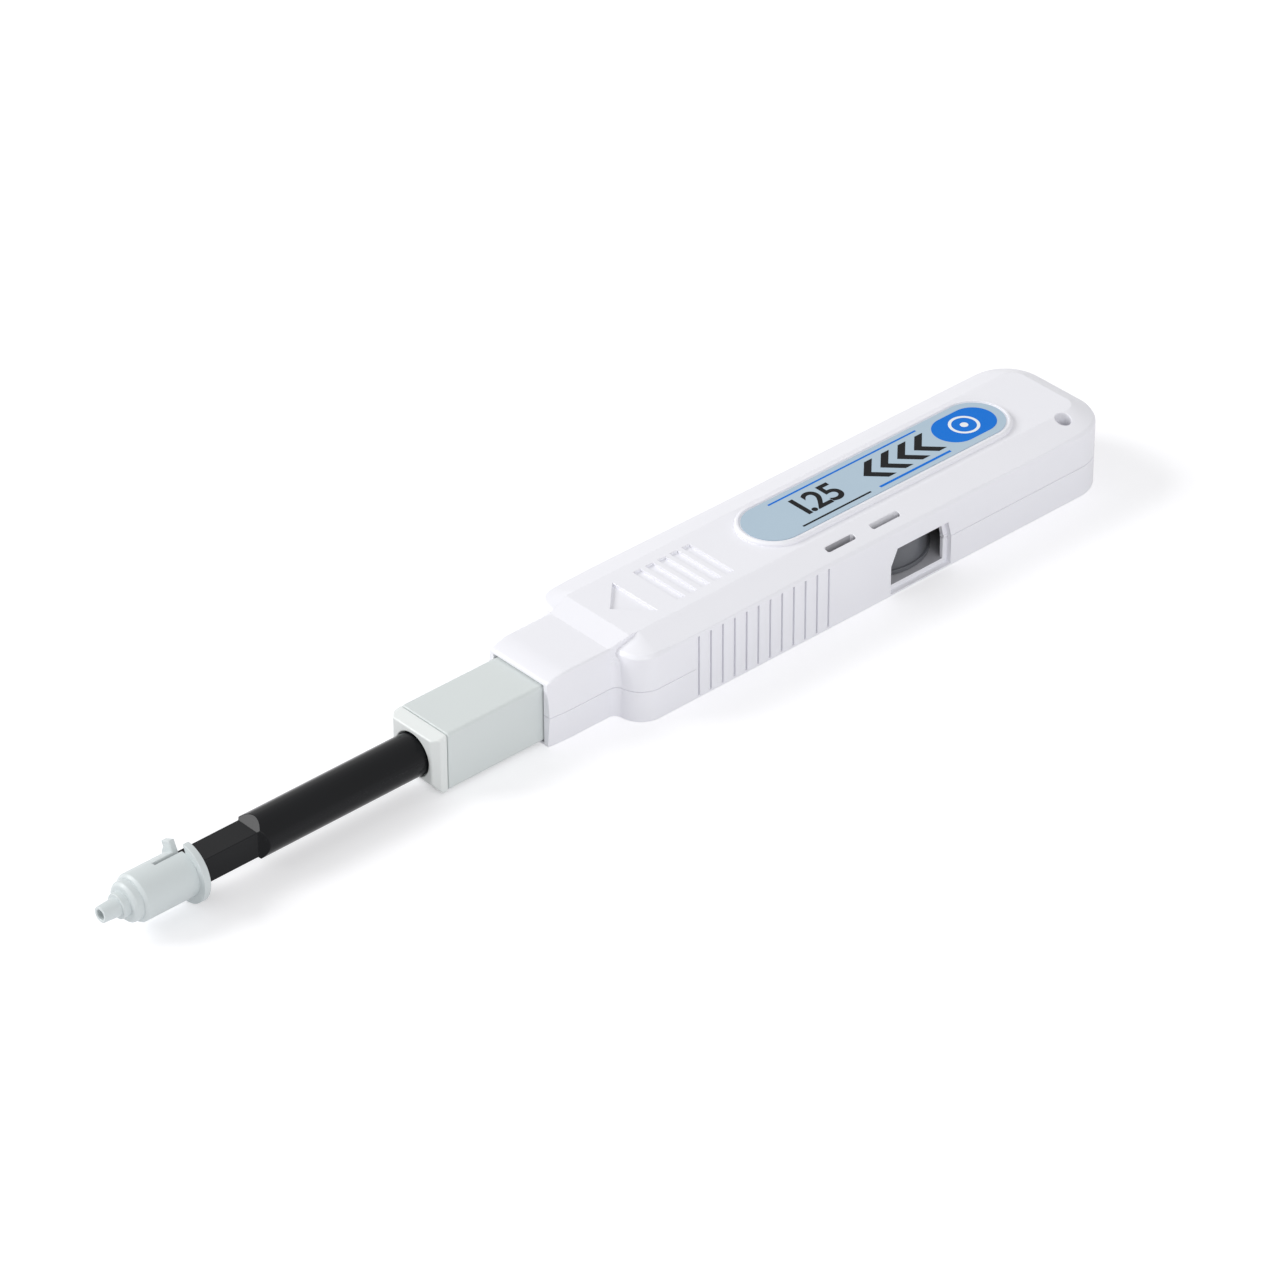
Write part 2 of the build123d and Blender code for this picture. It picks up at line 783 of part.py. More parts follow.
def make_cap():
    """Guide cap: stepped body with a nozzle bore for the ferrule and a sprung latch arm."""
    barrel = lengthwise(cap_radius, barrel_front_x, flange_front_x)
    barrel = chamfer(barrel.edges().group_by(Axis.X)[0], cap_edge_chamfer)
    flange = lengthwise(cap_flange_radius, flange_front_x, flange_rear_x)
    step = lengthwise(cap_step_radius, step_front_x, barrel_front_x)
    step = chamfer(step.edges().group_by(Axis.X)[0], cap_edge_chamfer)
    collar = lengthwise(cap_collar_radius, nozzle_base_x, step_front_x)
    nozzle = lengthwise(nozzle_tip_radius, tip_x, nozzle_base_x, nozzle_base_radius)
    seat_x = tube_front_x - fit_gap
    bore = lengthwise(cap_bore_radius, seat_x, flange_rear_x + past)
    step_bore = lengthwise(cap_step_bore_radius, tip_x + tip_guide_depth, seat_x + past)
    tip_guide = lengthwise(tip_guide_radius, tip_x + nozzle_bore_length, tip_x + tip_guide_depth + past)
    nozzle_bore = lengthwise(nozzle_bore_radius, tip_x - past, tip_x + tip_recess)
    cap = barrel + flange + step + collar + nozzle - bore - step_bore - tip_guide - nozzle_bore

    top = axis_z + latch_tab_radius + past
    root_x = flange_front_x - latch_notch_length
    notch_y = latch_notch_width / 2
    gap_y = latch_flange_gap / 2
    turned = Pos(0, 0, axis_z) * Rot(-latch_turn, 0, 0) * Pos(0, 0, -axis_z)
    notch = block(root_x, flange_rear_x + past, -notch_y, notch_y, axis_z, top)
    gap = block(flange_front_x, flange_rear_x + past, -gap_y, gap_y, axis_z, top)
    cap = cap - turned * notch - turned * gap

    arm_y = latch_arm_width / 2
    arm_end_x = root_x + latch_arm_length
    arm_root_x = root_x - latch_arm_root
    sector = block(arm_root_x, arm_end_x, -arm_y, arm_y, axis_z, top)
    skin = lengthwise(cap_radius, arm_root_x, arm_end_x)
    hollow = lengthwise(cap_bore_radius, root_x - past, arm_end_x + past)
    arm = (skin - hollow) & sector
    tab_y = latch_tab_width / 2
    tab_high = axis_z + latch_tab_radius
    tab = block(
        arm_end_x - latch_tab_thickness, arm_end_x, -tab_y, tab_y, axis_z + cap_bore_radius, tab_high
    )
    tab = tab - lengthwise(cap_bore_radius + latch_tab_clearance, arm_end_x - past, arm_end_x + past)
    return cap + turned * (arm + tab)


# ---------------------------------------------------------------- cleaning head


def helix_rod(radius, pitch, turns, section):
    """A section swept along a helix that climbs the Z axis from its start on +X."""
    path = Helix(pitch=pitch, height=pitch * turns, radius=radius)
    start = Plane(origin=path @ 0, x_dir=(1, 0, 0), z_dir=path % 0)
    return sweep(start * section, path=path, is_frenet=True)


def make_head():
    """Cleaning head shaft: a drum with the helical cam groove, a stem and a needle."""
    drum = lengthwise(drum_radius, drum_front_x, drum_rear_x)
    spigot = lengthwise(head_spigot_radius, drum_rear_x, drum_rear_x + head_spigot_length)
    stem = lengthwise(stem_radius, tube_bore_x + past, drum_front_x)
    needle = lengthwise(needle_radius, needle_front_x, tube_bore_x + past)
    turn_share = cam_turn / 360
    lead = stroke / turn_share
    width = 2 * (cam_pin_radius + cam_pin_gap)
    middle = drum_radius + (past - groove_depth) / 2
    cutter = helix_rod(middle, lead, turn_share, Rectangle(groove_depth + past, width))
    run = Plane(origin=(cam_pin_x, 0, axis_z), x_dir=(0, 0, 1), z_dir=(-1, 0, 0))
    groove = run.location * cutter
    floor_r = drum_radius - groove_depth
    end_mill = upright(width / 2, 0, 0, floor_r, drum_radius + past)
    start_end = Pos(cam_pin_x, 0, axis_z) * end_mill
    far_end = Pos(cam_pin_x - stroke, 0, axis_z) * Rot(-cam_turn, 0, 0) * end_mill
    return drum + spigot + stem + needle - groove - start_end - far_end


def make_tip():
    """Cleaning tip with two flats for the thread, set on the needle."""
    tip = lengthwise(tip_radius, head_front_x, needle_front_x)
    reach = tip_radius + past
    for side in (-1, 1):
        low, high = sorted((side * tip_flat, side * reach))
        tip -= block(head_front_x - past, needle_front_x + past, low, high, 0, 2 * axis_z)
    return tip


def make_head_thread():
    """Cleaning thread looped over the end of the tip, lying on its two flats."""
    outer = tip_flat + head_thread_thickness
    half = head_thread_width / 2
    low = axis_z - half
    high = axis_z + half
    loop = block(head_front_x - head_thread_thickness, needle_front_x, -outer, outer, low, high)
    return loop - block(head_front_x, needle_front_x + past, -tip_flat, tip_flat, low - past, high + past)


def make_tip_spring():
    """Light spring that presses the cleaning head forwards."""
    start_x = drum_rear_x + fit_gap
    length = sleeve_rear_x - sleeve_rear_wall - fit_gap - start_x
    return coil_spring(start_x, length, tip_spring_radius, tip_spring_wire, tip_spring_turns)


def make_return_spring():
    """Spring between the slider's rear wall and the bulkhead."""
    start_x = sleeve_rear_x + fit_gap
    length = bulkhead_x - fit_gap - start_x
    return coil_spring(start_x, length, return_spring_radius, return_spring_wire, return_spring_turns)


def coil_spring(start_x, length, radius, wire, turns):
    """Open coil along the pen's axis, with ground ends."""
    rise = length - wire
    coil = helix_rod(radius, rise / turns, turns, RegularPolygon(wire / 2, spring_wire_sides))
    place = Plane(origin=(start_x + wire / 2, 0, axis_z), x_dir=(0, 0, 1), z_dir=(1, 0, 0))
    reach = radius + wire
    slab = block(start_x, start_x + length, -reach, reach, axis_z - reach, axis_z + reach)
    return (place.location * coil) & slab


def make_cam_pin():
    """Steel pin pressed into the upper shell, with its end in the head's cam groove."""
    low = axis_z + drum_radius - groove_depth + slide_gap
    high = sleeve_high_z + slide_gap + cam_pin_socket
    return upright(cam_pin_radius, cam_pin_x, 0, low, high)


# ---------------------------------------------------------------- gear train and reels


def involute(angle):
    """Involute function of an angle in radians."""
    return tan(angle) - angle


def make_gear():
    """Spur gear with involute flanks, on the take-up reel's hexagon."""
    base_radius = gear_pitch_radius * cos(radians(pressure_angle))
    root_radius = gear_pitch_radius - dedendum
    crest_radius = gear_pitch_radius + gear_module
    half_at_pitch = pi / (2 * gear_teeth) - backlash / (2 * gear_pitch_radius)
    flank = [(root_radius, half_at_pitch + involute(radians(pressure_angle)))]
    for i in range(gear_flank_steps):
        radius = base_radius + (crest_radius - base_radius) * i / (gear_flank_steps - 1)
        roll = involute(acos(base_radius / radius))
        flank.append((radius, half_at_pitch + involute(radians(pressure_angle)) - roll))
    outline = []
    for tooth in range(gear_teeth):
        centre = 2 * pi * tooth / gear_teeth
        for radius, half in flank:
            outline.append((radius * cos(centre - half), radius * sin(centre - half)))
        for radius, half in reversed(flank):
            outline.append((radius * cos(centre + half), radius * sin(centre + half)))
    wheel = extrude(make_face(Polyline(*outline, close=True)), gear_thickness)
    hexagon = RegularPolygon(hub_hex / 2 + fit_gap, 6, major_radius=False)
    bore = extrude(Pos(0, 0, -past) * hexagon, gear_thickness + 2 * past)
    return Pos(take_up_x, 0, gear_z) * (wheel - bore)


def rack_peg_places():
    """Where the rack's two pegs enter the sleeve's side."""
    front_x = sleeve_rear_x - rack_lug_length
    return [front_x + rack_lug_length / 4, front_x + 3 * rack_lug_length / 4]


def rack_peg(x, length, width):
    """Square peg that reaches from the rack into the sleeve's side by its length."""
    half = width / 2
    middle_z = gear_z + gear_thickness / 2
    root_y = sleeve_half + rack_peg_root
    return block(x - half, x + half, sleeve_half - length, root_y, middle_z - half, middle_z + half)


def make_rack():
    """Rack on the slider's far side, with straight flanks in mesh with the gear."""
    pitch = pi * gear_module
    lean = tan(radians(pressure_angle))
    root_y = gear_pitch_radius + dedendum
    crest_y = gear_pitch_radius - gear_module
    half = pitch / 4 - backlash / 2
    half_root = half + dedendum * lean
    half_crest = half - gear_module * lean
    last = int(rack_overrun / pitch)
    first = -int((stroke + rack_overrun) / pitch)
    outline = [(sleeve_rear_x - rack_lug_length, sleeve_half + fit_gap)]
    lug_end = take_up_x + (first - 1) * pitch
    outline.append((lug_end, sleeve_half + fit_gap))
    outline.append((lug_end, root_y))
    for i in range(first, last + 1):
        x = take_up_x + (i - 0.5) * pitch
        outline.append((x - half_root, root_y))
        outline.append((x - half_crest, crest_y))
        outline.append((x + half_crest, crest_y))
        outline.append((x + half_root, root_y))
    end_x = take_up_x + last * pitch + half_root
    outline.append((end_x, root_y))
    outline.append((end_x, rack_outer_y))
    outline.append((sleeve_rear_x - rack_lug_length, rack_outer_y))
    plan = make_face(Polyline(*outline, close=True))
    rack = extrude(Pos(0, 0, gear_z) * plan, gear_thickness)
    for x in rack_peg_places():
        rack += rack_peg(x, rack_peg_length, rack_peg_width)
    return rack


def turned_part(x, profile):
    """Ring turned about the upright axis at x, from its half section in radius and Z."""
    section = Plane.XZ * make_face(Polyline(*profile, close=True))
    return Pos(x, 0, 0) * revolve(section, Axis.Z)


def make_take_up_reel():
    """Take-up reel: a dark skirt seen in the window, a thread groove above it, and a hexagon."""
    bore = reel_pin_radius + reel_running_gap
    skirt_in = reel_radius - take_up_skirt
    lip_radius = reel_radius + take_up_lip
    hub_low = floor_thickness + floor_boss_height + reel_floor_gap
    web_low = take_up_groove_z - reel_flange
    low = reel_floor_z
    reel = turned_part(
        take_up_x,
        [
            (bore, hub_low),
            (hub_radius, hub_low),
            (hub_radius, web_low),
            (skirt_in, web_low),
            (skirt_in, low),
            (lip_radius, low),
            (lip_radius, low + take_up_lip_height),
            (reel_radius, low + take_up_lip_height),
            (reel_radius, take_up_groove_z),
            (take_up_core_radius, take_up_groove_z),
            (take_up_core_radius, reel_top_z - reel_flange),
            (reel_radius, reel_top_z - reel_flange),
            (reel_radius, reel_top_z),
            (bore, reel_top_z),
        ],
    )
    hexagon = RegularPolygon(hub_hex / 2, 6, major_radius=False) - Circle(bore)
    stub = extrude(Pos(take_up_x, 0, reel_top_z) * hexagon, gear_z + gear_thickness - reel_top_z)
    return reel + stub + click_ring(skirt_in, low, web_low)


def click_ring(radius, low, high):
    """Saw teeth inside the skirt that the click spring rides on."""
    outline = []
    for i in range(click_teeth):
        angle = 2 * pi * i / click_teeth
        crest = radius - click_tooth_height
        outline.append((radius * cos(angle), radius * sin(angle)))
        outline.append((crest * cos(angle), crest * sin(angle)))
    ring = Circle(radius + take_up_skirt / 2) - make_face(Polyline(*outline, close=True))
    return extrude(Pos(take_up_x, 0, low) * ring, high - low)


def make_click_spring():
    """Plastic click spring on the floor boss: two straight arms that let the reel turn one way."""
    tip_reach = reel_radius - take_up_skirt - click_tooth_height - click_gap
    inner = boss_radius + fit_gap
    outer = inner + 2 * click_arm
    arm_y = outer - click_arm
    arm_end_x = sqrt(tip_reach**2 - outer**2)
    arm = Pos(arm_end_x / 2, arm_y + click_arm / 2) * Rectangle(arm_end_x, click_arm)
    plan = Circle(outer) + arm + Rot(0, 0, 180) * arm - Circle(inner)
    return extrude(Pos(take_up_x, 0, reel_floor_z) * plan, click_spring_height)


def make_take_up_thread():
    """Used thread wound in the take-up reel's groove."""
    low = take_up_groove_z
    high = reel_top_z - reel_flange
    core = take_up_core_radius + fit_gap
    pack = reel_radius - take_up_pack_margin
    return turned_part(take_up_x, [(core, low), (pack, low), (pack, high), (core, high)])


def make_supply_reel():
    """Supply reel: a plain spool with two flanges."""
    bore = reel_pin_radius + reel_running_gap
    low = floor_thickness + floor_boss_height + reel_floor_gap
    flange_low = low + reel_flange
    flange_high = reel_top_z - reel_flange
    return turned_part(
        supply_x,
        [
            (bore, low),
            (reel_radius, low),
            (reel_radius, flange_low),
            (supply_core_radius, flange_low),
            (supply_core_radius, flange_high),
            (reel_radius, flange_high),
            (reel_radius, reel_top_z),
            (bore, reel_top_z),
        ],
    )


def make_supply_thread():
    """Clean thread wound on the supply reel."""
    low = floor_thickness + floor_boss_height + reel_floor_gap + reel_flange
    high = reel_top_z - reel_flange
    core = supply_core_radius + fit_gap
    pack = reel_radius - supply_pack_margin
    return turned_part(supply_x, [(core, low), (pack, low), (pack, high), (core, high)])


def make_drag_washer():
    """Washer that drags on the supply reel and keeps the thread taut."""
    ring = Circle(drag_washer_radius) - Circle(reel_pin_radius + fit_gap)
    return extrude(Pos(supply_x, 0, reel_top_z) * ring, drag_washer_thickness)


def make_reel_pin(x):
    """Steel pin between the floor boss and the ceiling boss."""
    return upright(reel_pin_radius, x, 0, floor_thickness / 2, ceiling_z + top_wall / 2)


upper_case, lower_case = make_case()

pieces = {
    "upper_case": upper_case,
    "lower_case": lower_case,
    "label_plate": make_label(),
    "slider_sleeve": make_sleeve(),
    "slider_nose": make_nose(),
    "nozzle_tube": make_tube(),
    "guide_cap": make_cap(),
    "drive_rack": make_rack(),
    "return_spring": make_return_spring(),
    "cam_pin": make_cam_pin(),
    "head_shaft": make_head(),
    "cleaning_tip": make_tip(),
    "head_thread": make_head_thread(),
    "head_spring": make_tip_spring(),
    "drive_gear": make_gear(),
    "take_up_reel": make_take_up_reel(),
    "take_up_thread": make_take_up_thread(),
    "take_up_pin": make_reel_pin(take_up_x),
    "click_spring": make_click_spring(),
    "supply_reel": make_supply_reel(),
    "supply_thread": make_supply_thread(),
    "supply_pin": make_reel_pin(supply_x),
    "drag_washer": make_drag_washer(),
}

os.makedirs("parts", exist_ok=True)
for name, piece in pieces.items():
    export_step(piece, f"parts/{name}.step")
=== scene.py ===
from math import cos, pi, radians, sin

import bmesh
import bpy
from mathutils import Matrix, Vector


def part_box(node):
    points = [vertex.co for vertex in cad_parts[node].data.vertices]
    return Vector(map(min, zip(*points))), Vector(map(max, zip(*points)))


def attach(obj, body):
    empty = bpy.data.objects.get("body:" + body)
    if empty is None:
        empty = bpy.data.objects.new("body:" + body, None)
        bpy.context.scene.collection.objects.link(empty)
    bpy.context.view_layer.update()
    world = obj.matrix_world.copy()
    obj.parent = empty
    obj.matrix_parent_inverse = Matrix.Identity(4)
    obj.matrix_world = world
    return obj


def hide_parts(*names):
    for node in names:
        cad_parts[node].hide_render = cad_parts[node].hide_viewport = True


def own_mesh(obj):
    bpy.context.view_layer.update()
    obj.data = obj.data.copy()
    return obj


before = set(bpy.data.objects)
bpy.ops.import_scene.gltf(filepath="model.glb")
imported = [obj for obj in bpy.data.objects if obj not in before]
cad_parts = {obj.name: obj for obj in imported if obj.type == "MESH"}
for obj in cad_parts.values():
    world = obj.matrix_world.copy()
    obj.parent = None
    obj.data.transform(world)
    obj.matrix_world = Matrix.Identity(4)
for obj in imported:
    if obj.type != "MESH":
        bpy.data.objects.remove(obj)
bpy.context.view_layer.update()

MM = 0.001

# ---------------------------------------------------------------- lower shell
# Lower half of the pen's case: injection-moulded white ABS with a fine spark-eroded grain.
# It carries the floor bosses for the reels, and the upper shell's pegs press into it.


def node_copy(node, weld=0.0001 * MM, flat=radians(0.5)):
    """A CAD node's mesh as one welded skin whose flat faces are whole, with its creases marked."""
    bm = bmesh.new()
    bm.from_mesh(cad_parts[node].data)
    for edge in bm.edges:
        edge.smooth = not edge.is_boundary
    bmesh.ops.remove_doubles(bm, verts=bm.verts, dist=weld)
    bmesh.ops.dissolve_limit(
        bm, angle_limit=flat, verts=bm.verts, edges=bm.edges, delimit={"SHARP"}
    )
    for edge in bm.edges:
        if len(edge.link_faces) == 2 and edge.calc_face_angle() < radians(6):
            edge.smooth = True
    return bm


def soften(bm, width, steps=2, corner=radians(12), chosen=None):
    """Rounds the outward creases of a skin, as a mould's or a tumbler's edges are."""
    edges = []
    for edge in bm.edges:
        if len(edge.link_faces) == 2 and edge.is_convex and not edge.smooth:
            if edge.calc_face_angle() > corner and (chosen is None or chosen(edge)):
                edges.append(edge)
    return bmesh.ops.bevel(
        bm, geom=edges, offset=width, offset_type="OFFSET", segments=steps, profile=0.5,
        affect="EDGES", clamp_overlap=False, loop_slide=False, material=-1,
    )["faces"]


def finish_piece(bm, name, body, material, crease=radians(50)):
    """Makes a skin an object that rides on a body, shaded smooth between its creases."""
    for face in bm.faces:
        face.smooth = True
    for edge in bm.edges:
        sharp = len(edge.link_faces) != 2 or edge.calc_face_angle() > crease
        edge.smooth = edge.smooth and not sharp
    mesh = bpy.data.meshes.new(name)
    bm.to_mesh(mesh)
    bm.free()
    piece = bpy.data.objects.new(name, mesh)
    bpy.context.scene.collection.objects.link(piece)
    piece.data.materials.append(material)
    weighted = piece.modifiers.new("flat faces stay flat", "WEIGHTED_NORMAL")
    weighted.keep_sharp = True
    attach(piece, body)
    return piece


def add_node(tree, kind, inputs, **settings):
    """A shader node with its settings, its sockets' values and its links."""
    node = tree.nodes.new(kind)
    for key, value in settings.items():
        setattr(node, key, value)
    for key, value in inputs.items():
        if isinstance(value, bpy.types.NodeSocket):
            tree.links.new(value, node.inputs[key])
        else:
            node.inputs[key].default_value = value
    return node


def srgb(code):
    """A colour written as six hexadecimal digits, as the shader's linear values."""
    parts = [int(code[i:i + 2], 16) / 255 for i in (0, 2, 4)]
    return [((p + 0.055) / 1.055) ** 2.4 if p > 0.04045 else p / 12.92 for p in parts] + [1]


def new_finish(name):
    """A new material with its tree, its surface shader and the place on the piece."""
    material = bpy.data.materials.new(name)
    material.use_nodes = True
    tree = material.node_tree
    place = add_node(tree, "ShaderNodeTexCoord", {}).outputs["Object"]
    return material, tree, tree.nodes["Principled BSDF"], place


def tint(tree, surface, share, colour, shade):
    """Colours a surface between two shades."""
    mix = add_node(
        tree, "ShaderNodeMix", {"Factor": share, "A": colour, "B": shade}, data_type="RGBA"
    )
    tree.links.new(mix.outputs["Result"], surface.inputs["Base Color"])


def uneven_gloss(tree, surface, share, low, high):
    """Lets a surface's roughness run from low to high."""
    gloss = add_node(tree, "ShaderNodeMapRange", {"Value": share, "To Min": low, "To Max": high})
    tree.links.new(gloss.outputs["Result"], surface.inputs["Roughness"])


def relief(tree, surface, height, strength, depth):
    """Gives a surface a fine relief of a depth in millimetres."""
    bump = add_node(
        tree, "ShaderNodeBump", {"Height": height, "Strength": strength, "Distance": depth * MM}
    )
    tree.links.new(bump.outputs["Normal"], surface.inputs["Normal"])


def moulded_plastic(name, colour, shade, grain, roughness, depth, mirror=0.5):
    """Moulded plastic: two close shades in slow drifts, a spark-eroded grain and an uneven gloss."""
    material, tree, surface, place = new_finish(name)
    drift = add_node(
        tree, "ShaderNodeTexNoise", {"Vector": place, "Scale": 90, "Detail": 3, "Roughness": 0.6}
    ).outputs["Fac"]
    fine = add_node(
        tree, "ShaderNodeTexNoise", {"Vector": place, "Scale": grain, "Detail": 2, "Roughness": 0.7}
    ).outputs["Fac"]
    tint(tree, surface, drift, srgb(colour), srgb(shade))
    uneven_gloss(tree, surface, fine, roughness - 0.06, roughness + 0.08)
    relief(tree, surface, fine, 0.5, depth)
    surface.inputs["IOR"].default_value = 1.53
    surface.inputs["Specular IOR Level"].default_value = mirror
    return material


case_white = moulded_plastic("case_white", "f2f2f7", "eeeef4", 9000, 0.42, 0.006)

lower = node_copy("lower_case")
parting_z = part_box("lower_case")[1].z
level_slack = 0.001 * MM
case_edge_round = 0.07 * MM
groove_width = 0.06 * MM
groove_depth = 0.16 * MM
neck_end_x, case_middle_x, rear_round_x = -0.1, 30, 73.9
side_wall_y = 9.5
grip_front_x, grip_rear_x, window_front_x = 5.3, 29.6, 41


def middle_mm(edge):
    """An edge's middle in millimetres."""
    return (edge.verts[0].co + edge.verts[1].co) / 2 / MM


def at_parting(edge):
    """True for an edge of a shell's outer rim at the parting line that gets the groove.

    The grip has none, nor has the near side from the grip to the window.
    """
    if any(abs(vert.co.z - parting_z) > level_slack for vert in edge.verts):
        return False
    x, y, z = middle_mm(edge)
    walls = [face.normal for face in edge.link_faces if abs(face.normal.z) < 0.5]
    faces_out = any(wall.x * (x - case_middle_x) + wall.y * y > 0.5 for wall in walls)
    left_out = grip_front_x < x < (window_front_x if y < 0 else grip_rear_x)
    on_end = x < neck_end_x or x > rear_round_x
    return faces_out and (on_end or (abs(y) > side_wall_y and not left_out))


def part_line(bm):
    """Cuts the narrow groove that shows where the two shells meet."""
    faces = soften(bm, groove_width, steps=1, chosen=at_parting)
    rim = {vert for face in faces for vert in face.verts if abs(vert.co.z - parting_z) < level_slack}
    inward = {vert: Vector() for vert in rim}
    for face in faces:
        for vert in face.verts:
            if vert in rim:
                inward[vert] -= Vector((face.normal.x, face.normal.y, 0))
    for vert, way in inward.items():
        vert.co += way.normalized() * groove_depth
    for edge in {edge for face in faces for edge in face.edges}:
        edge.smooth = False


def away_from_rim(edge):
    """True for a crease that is softened: not the rim, a grip groove or the end of a neck cove."""
    x, y, z = middle_mm(edge)
    grip = 5.5 < x < 29.5 and abs(y) > 9.3 and z < 9.4
    cove = -5.2 < x < -3.3 and 5.2 < abs(y) < 7.3 and z > 7.2
    rim = min(abs(vert.co.z - parting_z) for vert in edge.verts) < 0.2 * MM
    return not (grip or cove or rim)


# Darker grey for the cavity's faces: painted shade inside the case, not a finish of the plastic.
cavity_painted_shade = moulded_plastic("cavity_painted_shade", "b9b9be", "b0b0b6", 6000, 0.6, 0.01)


def paint_cavity_shade(shell):
    """Paints a shell's cavity darker grey: painted shade for the shade inside the case, whose real
    cavity is the same white plastic as the outside.
    """
    shell.data.materials.append(cavity_painted_shade)
    corner_x, corner_y, corner_radius = 74, 4, 4.65
    lanyard_x, lanyard_y, lanyard_radius = 73.6, -6.8, 1.3
    for face in shell.data.polygons:
        x, y, z = face.center / MM
        inside = -2.3 < x < 78.7 and abs(y) < 8.65 and 0.9 < z < 9.65
        across, along = abs(y) - corner_y, x - corner_x
        past_corner = along > 0 and across > 0 and along**2 + across**2 > corner_radius**2
        lanyard_wall = (x - lanyard_x) ** 2 + (y - lanyard_y) ** 2 < lanyard_radius**2
        if inside and not past_corner and not lanyard_wall:
            face.material_index = 1


part_line(lower)
soften(lower, case_edge_round, chosen=away_from_rim)
lower_shell = finish_piece(lower, "lower_shell", "case", case_white)
# The lower shell's cavity gets painted shade.
paint_cavity_shade(lower_shell)
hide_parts("lower_case")

# ---------------------------------------------------------------- click spring
# Acetal ring with two springy arms on the floor boss.
# The arms click over the saw teeth in the take-up reel, so that it turns one way only.

acetal = moulded_plastic("acetal", "e9e6dc", "e2dfd4", 7000, 0.35, 0.004)
click = node_copy("click_spring")
soften(click, 0.04 * MM)
click_spring = finish_piece(click, "click_spring_arms", "case", acetal)
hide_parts("click_spring")

# ---------------------------------------------------------------- reels and gear
# Take-up reel in dark plastic, with its drive gear pressed on a hexagon, and a plain supply spool.
# Both run on ground steel pins; the reel's dark skirt is what the window shows.

reel_grey = moulded_plastic("reel_grey", "66686d", "5f6166", 8000, 0.38, 0.004)
gear_acetal = moulded_plastic("gear_acetal", "ece9e0", "e4e1d6", 7000, 0.33, 0.003)
for node, width, name, body, material, slot in (
    ("take_up_reel", 0.06, "take_up_spool", "take_up", reel_grey, "dark_plastic"),
    ("drive_gear", 0.03, "gear_wheel", "take_up", gear_acetal, "natural_acetal"),
    ("supply_reel", 0.06, "supply_spool", "supply", acetal, "natural_acetal"),
):
    skin = node_copy(node)
    soften(skin, width * MM)
    wheel = finish_piece(skin, name, body, material)
    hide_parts(node)


def metal(name, colour, roughness, turned_scale):
    """Ground or drawn metal with fine lines round it and a slightly uneven gloss."""
    material, tree, surface, place = new_finish(name)
    stretched = add_node(
        tree, "ShaderNodeMapping", {"Vector": place, "Scale": (1, 1, turned_scale)}
    ).outputs["Vector"]
    lines = add_node(
        tree, "ShaderNodeTexNoise", {"Vector": stretched, "Scale": 900, "Detail": 4, "Roughness": 0.65}
    ).outputs["Fac"]
    darker = [0.82 * value for value in srgb(colour)[:3]] + [1]
    tint(tree, surface, lines, srgb(colour), darker)
    uneven_gloss(tree, surface, lines, roughness - 0.05, roughness + 0.1)
    relief(tree, surface, lines, 0.3, 0.004)
    surface.inputs["Metallic"].default_value = 1.0
    return material


pin_steel = metal("pin_steel", "c9cbcf", 0.22, 12)
for node, name in (("take_up_pin", "take_up_axle"), ("supply_pin", "supply_axle")):
    skin = node_copy(node)
    soften(skin, 0.12 * MM, steps=3)
    axle = finish_piece(skin, name, "case", pin_steel)
    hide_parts(node)

washer = node_copy("drag_washer")
soften(washer, 0.05 * MM)
drag_washer = finish_piece(washer, "drag_washer_ring", "case", pin_steel)
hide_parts("drag_washer")

# ---------------------------------------------------------------- wound thread
# Cleaning thread of fine microfibre, wound on both reels in close turns.
# The supply reel holds it white; what the take-up reel has drawn in is the same thread, used.


def thread_material(name, colour, shade):
    """Twisted microfibre: slanting bright and dull strands with a soft sheen."""
    material, tree, surface, place = new_finish(name)
    strands = add_node(
        tree,
        "ShaderNodeTexWave",
        {"Vector": place, "Scale": 2600, "Distortion": 3.0, "Detail": 2, "Detail Scale": 3.0},
        bands_direction="DIAGONAL",
    ).outputs["Fac"]
    tint(tree, surface, strands, srgb(shade), srgb(colour))
    relief(tree, surface, strands, 0.6, 0.02)
    surface.inputs["Roughness"].default_value = 0.8
    surface.inputs["Sheen Weight"].default_value = 0.4
    surface.inputs["Sheen Roughness"].default_value = 0.4
    return material


clean_thread = thread_material("clean_thread", "f4f3ee", "d9d7cf")
used_thread = thread_material("used_thread", "e3e1da", "c4c1b7")
thread_pitch = 0.28 * MM
pack_depth = 1.6 * MM


def closed_line(bm, verts):
    """Edges that join vertices in a ring."""
    return [bm.edges.new((verts[i - 1], verts[i])) for i in range(len(verts))]


def wound_pack(node, name, body, material):
    """Close turns of thread that fill a reel's groove, on the space that the CAD gives them."""
    low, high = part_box(node)
    centre = (low + high) / 2
    outer = (high.x - low.x) / 2
    turns = round((high.z - low.z) / thread_pitch)
    pitch = (high.z - low.z) / turns
    inner = outer - pack_depth
    bm = bmesh.new()
    profile = [bm.verts.new((inner, 0, low.z))]
    for turn in range(turns):
        for share in (0.0, 0.25, 0.5, 0.75):
            bulge = sin(pi * share) * pitch / 2
            profile.append(
                bm.verts.new((outer - pitch / 2 + bulge, 0, low.z + (turn + share) * pitch))
            )
    profile.append(bm.verts.new((outer - pitch / 2, 0, high.z)))
    profile.append(bm.verts.new((inner, 0, high.z)))
    edges = closed_line(bm, profile)
    bmesh.ops.translate(bm, vec=(centre.x, centre.y, 0), verts=bm.verts)
    bmesh.ops.spin(
        bm, geom=profile + edges, cent=(centre.x, centre.y, 0), axis=(0, 0, 1),
        angle=2 * pi, steps=72, use_merge=True, dvec=(0, 0, 0),
    )
    bmesh.ops.remove_doubles(bm, verts=bm.verts, dist=0.001 * MM)
    bmesh.ops.recalc_face_normals(bm, faces=bm.faces)
    pack = finish_piece(bm, name, body, material, crease=radians(100))
    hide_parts(node)


